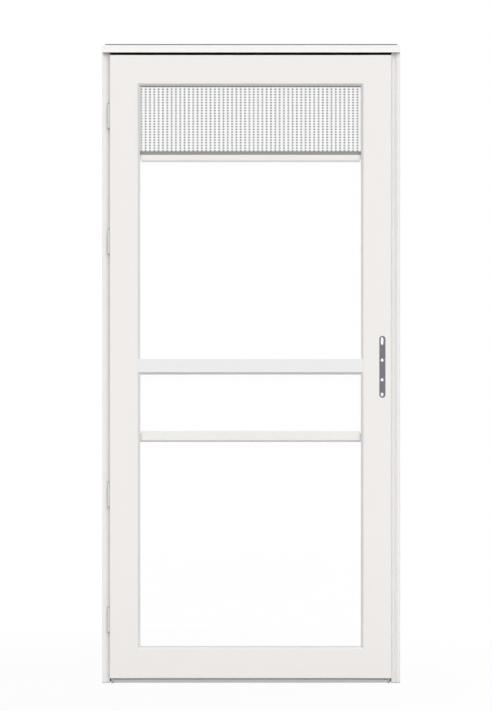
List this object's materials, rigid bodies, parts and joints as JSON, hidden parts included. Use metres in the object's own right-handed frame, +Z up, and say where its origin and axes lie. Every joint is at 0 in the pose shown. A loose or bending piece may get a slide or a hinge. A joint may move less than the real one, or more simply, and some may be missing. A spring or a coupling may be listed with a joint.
{
  "type": "aluminium storm door",
  "caption": "Full-view white aluminium storm door with a sliding glass sash, a roll screen, a drip cap and hinged side bars, bored for a handle.",
  "frame": {"origin": "on the back of the hinge side bar's flange, in the middle of its width, at its foot", "axes": "+Z up, +X from the hinge side to the latch side, +Y from outside into the opening"},
  "size_m": [0.954, 0.052, 2.048],
  "materials": {
    "white_paint": "satin baked enamel",
    "white_plastic": "satin",
    "cap_strip": "matt",
    "dark_plastic": "matt",
    "black_seal": "matt",
    "grey_pile": "matt",
    "pin_steel": "satin",
    "clear_glass": "polished",
    "pale_gasket": "matt",
    "grey_plastic": "matt",
    "screen_cloth": "woven",
    "dark_bar": "satin",
    "mill_aluminium": "mill",
    "sweep_rubber": "matt"
  },
  "bodies": {
    "side_frame": {"hinge_z_bar": "white_paint", "latch_z_bar": "white_paint", "drip_cap": "white_paint", "drip_cap_end_left": "white_plastic", "drip_cap_end_right": "white_plastic", "cap_top_seal": "cap_strip", "head_bar": "white_paint", "head_seal": "black_seal", "hinge_weatherstrip": "grey_pile", "latch_weatherstrip": "grey_pile", "frame_hinge_leaf_1": "white_paint", "frame_hinge_leaf_2": "white_paint", "frame_hinge_leaf_3": "white_paint", "frame_hinge_leaf_4": "white_paint", "hinge_pin_1": "pin_steel", "hinge_pin_2": "pin_steel", "hinge_pin_3": "pin_steel", "hinge_pin_4": "pin_steel"},
    "leaf": {"hinge_stile": "white_paint", "latch_stile": "white_paint", "top_rail": "white_paint", "bottom_rail": "white_paint", "mid_rail": "white_paint", "lower_glass": "clear_glass", "lower_glass_gasket": "pale_gasket", "sash_bottom_rail": "white_paint", "sash_top_rail": "white_paint", "sash_glass": "clear_glass", "sash_guide_1": "grey_plastic", "sash_guide_2": "grey_plastic", "sash_guide_3": "grey_plastic", "sash_guide_4": "grey_plastic", "screen_mesh": "screen_cloth", "screen_bottom_bar": "dark_bar", "screen_roller": "screen_cloth", "screen_brush": "grey_pile", "bottom_expander": "mill_aluminium", "expander_end_left": "dark_plastic", "expander_end_right": "dark_plastic", "bottom_sweep": "sweep_rubber", "handle_block": "mill_aluminium", "door_hinge_leaf_1": "white_paint", "door_hinge_leaf_2": "white_paint", "door_hinge_leaf_3": "white_paint", "door_hinge_leaf_4": "white_paint"}
  },
  "joints": [
    {"name": "leaf_swing", "type": "hinge", "parent": "side_frame", "child": "leaf", "pos_m": [0.0095, -0.0142, 1], "axis": [0, 0, -1], "range_deg": [0, 110]}
  ]
}
